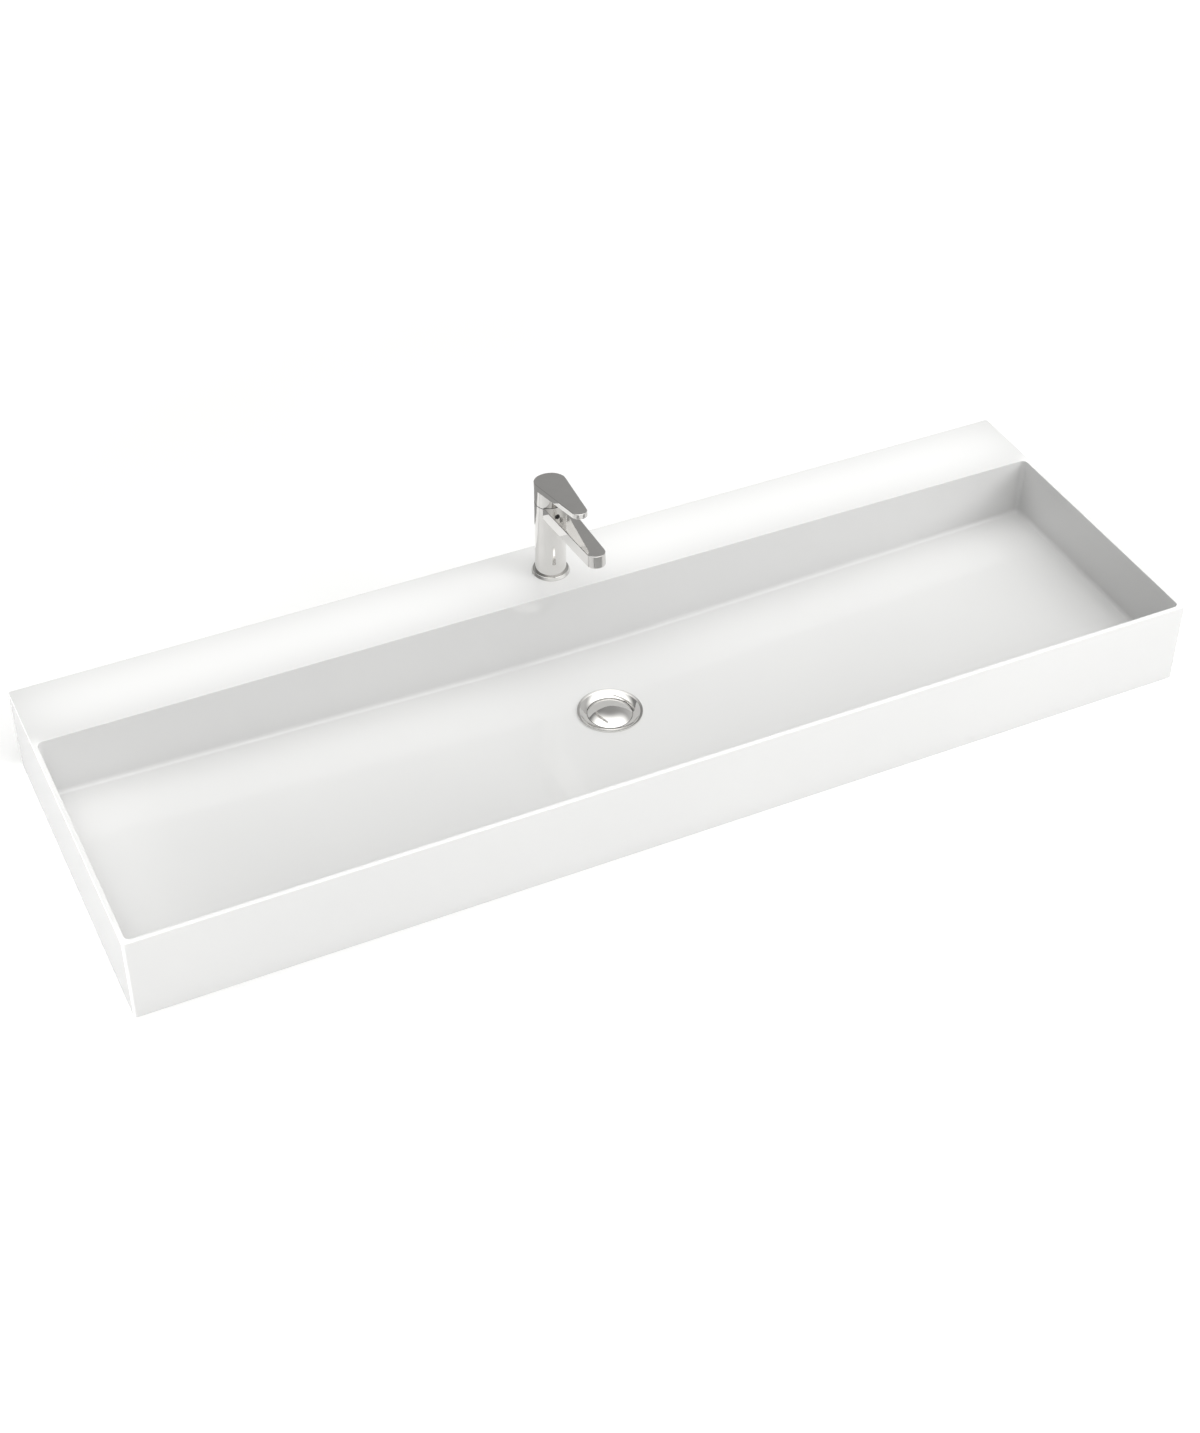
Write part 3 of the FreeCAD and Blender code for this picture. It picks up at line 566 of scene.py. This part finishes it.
def basin_skin():
    """Outer walls, rim, bowl and drain in one closed skin, still solid below."""
    top = BASIN_HIGH.z
    rings = [inset_loop(BASIN_LOW, BASIN_HIGH, PLAN_R, 0, 0.0)]
    for inset, rise in arc(RIM_ROUND, -RIM_ROUND, RIM_ROUND, 180, 90, ROUND_STEPS):
        rings.append(inset_loop(BASIN_LOW, BASIN_HIGH, PLAN_R, inset, top + rise))
    for inset, rise in arc(-RIM_ROUND, -RIM_ROUND, RIM_ROUND, 90, 0, ROUND_STEPS):
        rings.append(inset_loop(BOWL_LOW, BOWL_HIGH, BOWL_R, inset, top + rise))
    for inset, rise in arc(BOWL_FLOOR_R, BOWL_FLOOR_R, BOWL_FLOOR_R, 180, 270, FILLET_STEPS)[:-1]:
        level = inset_loop(BOWL_LOW, BOWL_HIGH, BOWL_R, inset, rise)
        rings.append([(x, y, floor_height(x) + z) for x, y, z in level])
    rings += pan_rings(PAN_LOW, PAN_HIGH, BOWL_R - BOWL_FLOOR_R, DRAIN_R, 0.0)
    recess = FLOOR_H - DRAIN_DEPTH
    rings.append(flat_ring(rings[-1], DRAIN_R, recess))
    rings.append(flat_ring(rings[-1], DRAIN_BORE_R, recess))
    rings.append(flat_ring(rings[-1], DRAIN_BORE_R, 0.0))
    return skin(rings, joined=True)


def floor_hollow():
    """Space under the floor, round the drain's boss."""
    low = BASIN_LOW + Vector((FOOT_W, FOOT_W, 0))
    high = Vector((BASIN_HIGH.x - FOOT_W, BOWL_HIGH.y, 0))
    ceiling = pan_rings(low, high, PLAN_R, BOSS_R, FLOOR_T)
    foot = [(x, y, -BELOW) for x, y, _ in ceiling[0]]
    boss = [flat_ring(ceiling[-1], radius, z) for radius, z in BOSS_FOOT]
    return skin([foot, *ceiling, *boss], joined=True)


def deck_bays():
    """Hollows under the tap deck, with ribs left between them."""
    inside = BASIN_HIGH.x - FOOT_W
    pitch = 2 * inside / (RIB_COUNT + 1)
    ceiling = BASIN_HIGH.z - DECK_T
    front = BOWL_HIGH.y + WEB_T
    back = BASIN_HIGH.y - FOOT_W
    bays = []
    for k in range(RIB_COUNT + 1):
        left = k * pitch - inside + (RIB_T / 2 if k else 0)
        right = (k + 1) * pitch - inside - (RIB_T / 2 if k < RIB_COUNT else 0)
        bays.append(box_mesh(left, right, front, back, -BELOW, ceiling))
    return merged(bays)


def drilled_holes():
    """Tap hole through the deck and two fixing holes through the back wall."""
    holes = [rod(TAP, TAP_HOLE_R, -DRILL_REACH, DRILL_REACH)]
    for x in (-FIXING_X, FIXING_X):
        hole = rod(ORIGIN, FIXING_R, -DRILL_REACH, DRILL_REACH, TURN_STEPS // 2)
        holes.append(laid(hole, (x, BASIN_HIGH.y - FOOT_W / 2, FIXING_H)))
    return merged(holes)


def make_basin():
    """Ceramic body: its skin, hollowed from below and drilled."""
    mesh = worked(
        basin_skin(), ("DIFFERENCE", floor_hollow()), ("DIFFERENCE", deck_bays()),
        ("DIFFERENCE", drilled_holes()),
    )
    piece("basin_shell", mesh, "basin", "glaze", "basin_body")


# Mixer
def teardrop(back_r, tip_r, reach, inset):
    """Two circles joined by tangents, the small one at the front, drawn in by an inset."""
    lean = math.degrees(math.asin((back_r - tip_r) / reach))
    back = arc(0, 0, back_r - inset, -lean, 180 + lean, TURN_STEPS // 2)
    tip = arc(0, -reach, tip_r - inset, 180 + lean, 360 - lean, TURN_STEPS // 3)
    return back + tip


def plate(outline, top_round, under, under_round):
    """A flat bar with rounded edges; under gives the underside's height at a point."""
    rings = []
    for inset, rise in arc(under_round, under_round, under_round, 270, 180, ROUND_STEPS):
        rings.append([(x, y, under(y) + rise) for x, y in outline(inset)])
    for inset, rise in arc(top_round, -top_round, top_round, 180, 90, ROUND_STEPS):
        rings.append([(x, y, rise) for x, y in outline(inset)])
    return skin(rings)


def raised(mesh, angle, height):
    """Tip the front up about a cross line through the tap's axis, then lift into place."""
    lift = Matrix.Translation(TAP + Vector((0, 0, height)))
    mesh.transform(lift @ Matrix.Rotation(-angle, 4, "X"))
    return mesh


def make_base_ring():
    """Ring under the column, with a ledge that the column stands on."""
    socket = COLUMN_R + PLAY
    foot = [(RING_BORE_R, 0.0), (RING_R, 0.0), (RING_R, RING_FOOT_H)]
    side = [*foot, (RING_TOP_R, RING_H), (socket, RING_H)]
    profile = [*eased(side, RING_ROUND), (socket, RING_LEDGE_H), (RING_BORE_R, RING_LEDGE_H)]
    piece("base_collar", turned(profile, TAP, joined=True), "basin", "chrome", "base_ring")


def make_mixer_body():
    """Column and spout in one, with the cartridge's chamber, the outlet's socket and the inlets."""

    def outline(inset):
        return teardrop(SPOUT_ROOT_R, SPOUT_NOSE_R, SPOUT_REACH, inset)

    def under(_):
        return -SPOUT_T

    spout = raised(plate(outline, SPOUT_ROUND, under, SPOUT_UNDER_ROUND), SPOUT_RISE, SPOUT_H)
    low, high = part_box("aerator_housing")
    outlet = (low + high) / 2
    socket_r = (high.x - low.x) / 2
    socket = rod(outlet, socket_r, -SPOUT_T / 2, SPOUT_T / 4)
    inlets = [
        rod(TAP + Vector((x, INLET_Y, 0)), INLET_R, -INLET_DEPTH, RING_LEDGE_H + INLET_DEPTH)
        for x in (-INLET_X, INLET_X)
    ]
    mesh = worked(
        rod(TAP, COLUMN_R, RING_LEDGE_H, COLUMN_H), ("UNION", spout), ("DIFFERENCE", merged(inlets)),
        ("DIFFERENCE", rod(TAP, RECESS_R, COLUMN_H, COLUMN_H + BEYOND)),
        ("DIFFERENCE", rod(TAP, CHAMBER_R, COLUMN_H - CHAMBER_DEPTH, COLUMN_H + CHAMBER_DEPTH)),
        ("DIFFERENCE", socket),
    )
    piece("mixer_body", mesh, "basin", "chrome", "tap_body")


def make_lever():
    """Teardrop lever over a hollow skirt, cut so that it clears the column when it tips up."""
    taper = (LEVER_T - LEVER_TIP_T) / (LEVER_REACH + LEVER_TIP_R)

    def outline(inset):
        return teardrop(LEVER_BACK_R, LEVER_TIP_R, LEVER_REACH, inset)

    def under(y):
        return -LEVER_T - min(0.0, y) * taper

    top = raised(plate(outline, LEVER_ROUND, under, LEVER_ROUND), LEVER_RISE, LEVER_TOP_H)
    skirt = rod(TAP, COLUMN_R, SKIRT_FOOT_H, LEVER_TOP_H - LEVER_T / 2)
    hollow = rod(TAP, COLUMN_R - SKIRT_WALL, SKIRT_FOOT_H - LEVER_T, SKIRT_FOOT_H + SKIRT_HOLLOW)
    relief = box_mesh(-BEYOND, BEYOND, -BEYOND, BEYOND, -BEYOND, 0.0)
    screw = laid(rod(ORIGIN, SCREW_PLUG_R, COLUMN_R / 2, 2 * COLUMN_R), TAP + Vector((0, 0, SCREW_H)))
    mesh = worked(
        top, ("UNION", skirt), ("DIFFERENCE", hollow),
        ("DIFFERENCE", raised(relief, -LIFT, RELIEF_H)), ("DIFFERENCE", screw),
    )
    piece("lever_shell", mesh, "handle", "chrome", "lever")


def make_cover():
    """Dark ring in the seam between the column and the lever's skirt: the cartridge's own dark cover, as
    wide as the column so that it also paints the shade in the seam.
    """
    top = COLUMN_H + COVER_T
    profile = [(COVER_BORE_R, COLUMN_H), (COVER_R, COLUMN_H), (COVER_R, top), (COVER_BORE_R, top)]
    piece("seam_shade_ring", turned(profile, TAP, joined=True), "basin", "dark_plastic", "cartridge_cover")


# Waste
def dish(start):
    """Hollow flank of the flange, from its lip down to the plug's seam."""
    points = []
    for k in range(1, DISH_STEPS + 1):
        share = k / DISH_STEPS
        belly = DISH_BELLY * math.sin(math.pi * share)
        radius = start[0] + (DISH_R - start[0]) * share
        points.append((radius, start[1] - (start[1] + DISH_DEPTH) * share - belly))
    return points


def spider():
    """Arms across the tail that carry the plug's mechanism."""
    low = -SPIDER_TOP - SPIDER_T
    half = SPIDER_ARM_W / 2
    steps = [("UNION", rod(DRAIN, HUB_R, low, -SPIDER_TOP))]
    for k in range(SPIDER_ARMS):
        arm = box_mesh(0.0, (TAIL_BORE_R + TAIL_R) / 2, -half, half, low, -SPIDER_TOP)
        turn = Matrix.Rotation(2 * math.pi * k / SPIDER_ARMS, 4, "Z")
        arm.transform(Matrix.Translation(DRAIN) @ turn)
        steps.append(("UNION", arm))
    bore = rod(DRAIN, HUB_BORE_R, low - HUB_R, HUB_R - SPIDER_TOP)
    return [*steps, ("DIFFERENCE", bore)]


def make_waste():
    """Dished flange on a tail with two threads, the nut's and the trap's."""
    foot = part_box("waste_body")[0].z - DRAIN.z
    neck = foot + TRAP_THREAD_L
    inner_lip = (LIP_R - LIP_W, LIP_H - LIP_DIP)
    lip = [(LIP_R, 0.0), (LIP_R, LIP_H), inner_lip]
    flange = [(FLANGE_R, -FLANGE_UNDER), (FLANGE_R, 0.0), *eased(lip, LIP_ROUND), *dish(inner_lip)]
    inside = [(DISH_R, -LEDGE), (TAIL_BORE_R, -LEDGE), (TAIL_BORE_R, foot)]
    above = neck + TAIL_NECK_L
    rings = [circle(DRAIN, radius, height, TURN_STEPS) for radius, height in flange + inside]
    rings += thread(DRAIN, TAIL_R, TAIL_THREAD_T, TAIL_PITCH, foot, neck)
    rings += [circle(DRAIN, TAIL_NECK_R, height, TURN_STEPS) for height in (neck, above)]
    rings += thread(DRAIN, TAIL_R, TAIL_THREAD_T, TAIL_PITCH, above, -FLANGE_UNDER)
    mesh = worked(skin(rings, joined=True), *spider())
    piece("waste_flange", mesh, "basin", "chrome", "waste_body")


def make_plug():
    """Domed plug, with a boss below that takes the click stem."""
    edge = CAP_R - CAP_EDGE_ROUND
    radii = [edge * k / DISH_STEPS for k in range(DISH_STEPS + 1)]
    crown = [(r, CAP_RISE * (1 - (r / edge) ** CAP_CURVE) - DISH_DEPTH) for r in radii]
    rim = arc(edge, -DISH_DEPTH - CAP_EDGE_ROUND, CAP_EDGE_ROUND, 90, 0, ROUND_STEPS)[1:]
    ceiling = CAP_SHELL_T - CAP_UNDER
    hole = CLICK_SPIGOT_R + PLAY
    hole_top = CAP_BOSS_DEPTH - CAP_BOSS_FOOT + PLAY
    profile = [
        *crown, *rim, (CAP_R, -CAP_UNDER), (CAP_HOLLOW_R, -CAP_UNDER), (CAP_HOLLOW_R, ceiling),
        (CAP_BOSS_R, ceiling), (CAP_BOSS_R, -CAP_BOSS_FOOT), (hole, -CAP_BOSS_FOOT), (hole, hole_top),
        (0.0, hole_top),
    ]
    piece("plug_dome", turned(profile, DRAIN), "plug", "chrome", "plug_cap")


# Fasteners
def stance(low, high):
    """The middle of a round solid's foot, its radius and its height, from its box."""
    foot = Vector(((low.x + high.x) / 2, (low.y + high.y) / 2, low.z))
    return foot, (high.x - low.x) / 2, high.z - low.z


def make_stud():
    """Threaded stud that holds the mixer on the deck."""
    foot, radius, tall = stance(*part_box("mounting_stud"))
    rings = thread(foot, radius, STUD_THREAD_T, STUD_PITCH, 0.0, tall, TURN_STEPS // 3)
    piece("stud_thread", skin(rings), "basin", "steel", "mounting_stud")


def make_nut(name, node, bore_r, slot):
    """A hexagon nut with turned chamfers, corners along X."""
    foot, radius, tall = stance(*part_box(node))
    cut = radius * NUT_CHAMFER
    body = rod(foot, radius, 0.0, tall, HEX_SIDES)
    profile = [(radius - cut, 0.0), (radius, cut / 2), (radius, tall - cut / 2), (radius - cut, tall)]
    lens = turned(profile, foot)
    bore = rod(foot, bore_r, -tall, 2 * tall)
    piece(name, worked(body, ("INTERSECT", lens), ("DIFFERENCE", bore)), "basin", slot, node)


# Surroundings
def ground_white():
    """A matt white that glows, faintly by the basin and more so away from it."""
    material = finish(
        "ground", (0.91, 0.91, 0.91), (0.93, 0.93, 0.93),
        cloud=2.0, rough=(0.5, 0.6), grain=300.0, relief=1e-5, Emission_Color=(1.0, 1.0, 1.0, 1.0),
    )
    tree = material.node_tree
    spot = add(tree, "ShaderNodeTexCoord").outputs["Object"]
    away = add(tree, "ShaderNodeVectorMath", {0: spot}, operation="LENGTH").outputs["Value"]
    fade = {"Value": away, "From Min": FADE_START, "From Max": FADE_END}
    light = {"To Min": GROUND_GLOW, "To Max": GLOW_AFAR}
    glow = add(tree, "ShaderNodeMapRange", fade | light, interpolation_type="SMOOTHSTEP").outputs["Result"]
    tree.links.new(glow, tree.nodes["Principled BSDF"].inputs["Emission Strength"])
    return material


def staged(name, mesh, material, *unseen_by):
    """A thing that is only there for the picture, unseen by these kinds of ray."""
    thing = put(name, mesh)
    for ray in unseen_by:
        setattr(thing, "visible_" + ray, False)
    thing.data.materials.append(material)


def make_ground():
    """A white ground, a backdrop that the camera sees and a card that the metal mirrors."""
    white = ground_white()
    rim = [(x, y, GROUND_Z) for x, y in arc(0, 0, GROUND_R, 0, 360, TURN_STEPS)[:-1]]
    ground = skin([rim, [(0, 0, GROUND_Z)]], capped=False)
    staged("floor", ground, white, "glossy")
    backdrop = skin([rim, [(x, y, BACKDROP_H) for x, y, _ in rim]], capped=False)
    staged("backdrop", backdrop, white, "diffuse", "glossy", "shadow")
    level = BASIN_HIGH.z - CARD_DROP
    back = BASIN_HIGH.y + CARD_GAP
    card = box_mesh(BASIN_LOW.x, BASIN_HIGH.x, back, back + CARD_W, level - CARD_T, level)
    staged("card", card, white, "camera", "diffuse", "shadow")


def make_world():
    """A grey room with smooth lobes of light, brightest overhead."""
    world = bpy.data.worlds.new("studio")
    bpy.context.scene.world = world
    world.use_nodes = True
    tree = world.node_tree
    around = add(tree, "ShaderNodeTexCoord").outputs["Generated"]
    split = add(tree, "ShaderNodeSeparateXYZ", {"Vector": around}).outputs
    mirrors = add(tree, "ShaderNodeLightPath").outputs["Is Glossy Ray"]
    grey = {0: mirrors, 1: MIRRORED, 2: AMBIENT}
    total = add(tree, "ShaderNodeMath", grey, operation="MULTIPLY_ADD").outputs["Value"]
    for axis, start, full, strength in LOBES:
        sockets = {"Value": split[axis], "From Min": start, "From Max": full, "To Max": strength}
        lobe = add(tree, "ShaderNodeMapRange", sockets, interpolation_type="SMOOTHSTEP")
        both = {0: total, 1: lobe.outputs["Result"]}
        total = add(tree, "ShaderNodeMath", both, operation="ADD").outputs["Value"]
    sky = tree.nodes["Background"]
    sky.inputs["Color"].default_value = SKY
    tree.links.new(total, sky.inputs["Strength"])


def lamp(name, place, target, size, watts):
    """A soft lamp, wide by high, that isn't itself mirrored in the metal."""
    light = bpy.data.lights.new(name, "AREA")
    light.shape = "RECTANGLE"
    light.size, light.size_y = size
    light.energy = watts
    holder = put(name, light)
    holder.location = place
    holder.rotation_euler = (Vector(target) - Vector(place)).to_track_quat("-Z", "Y").to_euler()
    holder.visible_glossy = False
    holder.visible_camera = False


def strip(name, x, y, rise, size, watts):
    """A thin lamp that hangs over the basin's top and faces down."""
    lamp(name, (x, y, BASIN_HIGH.z + rise), (x, y, BASIN_HIGH.z), size, watts)


def make_camera():
    """The photograph's view."""
    flat = math.cos(ELEVATION)
    back = Vector((math.sin(AZIMUTH) * flat, -math.cos(AZIMUTH) * flat, math.sin(ELEVATION)))
    level = Vector((math.cos(AZIMUTH), math.sin(AZIMUTH), 0))
    steep = back.cross(level)
    right = level * math.cos(ROLL) + steep * math.sin(ROLL)
    up = steep * math.cos(ROLL) - level * math.sin(ROLL)
    lens = bpy.data.cameras.new("photo_camera")
    lens.sensor_width = SENSOR_MM
    lens.lens = FOCAL_PX * SENSOR_MM / PHOTO_H
    holder = put("photo_camera", lens)
    turn = Matrix((right, up, back)).transposed().to_4x4()
    holder.matrix_world = Matrix.Translation(right * ASIDE + up * ABOVE + back * DISTANCE) @ turn
    bpy.context.scene.camera = holder


dress_nodes()
make_basin()
make_base_ring()
make_mixer_body()
make_lever()
make_cover()
make_waste()
make_plug()
make_stud()
make_nut("clamp_nut", "mounting_nut", STUD_R, "steel")
make_nut("waste_nut", "back_nut", TAIL_R, "brass")
make_ground()
make_world()
for row in LAMPS:
    lamp(*row)
for row in STRIPS:
    strip(*row)
make_camera()
bpy.context.scene.view_settings.view_transform = "Standard"
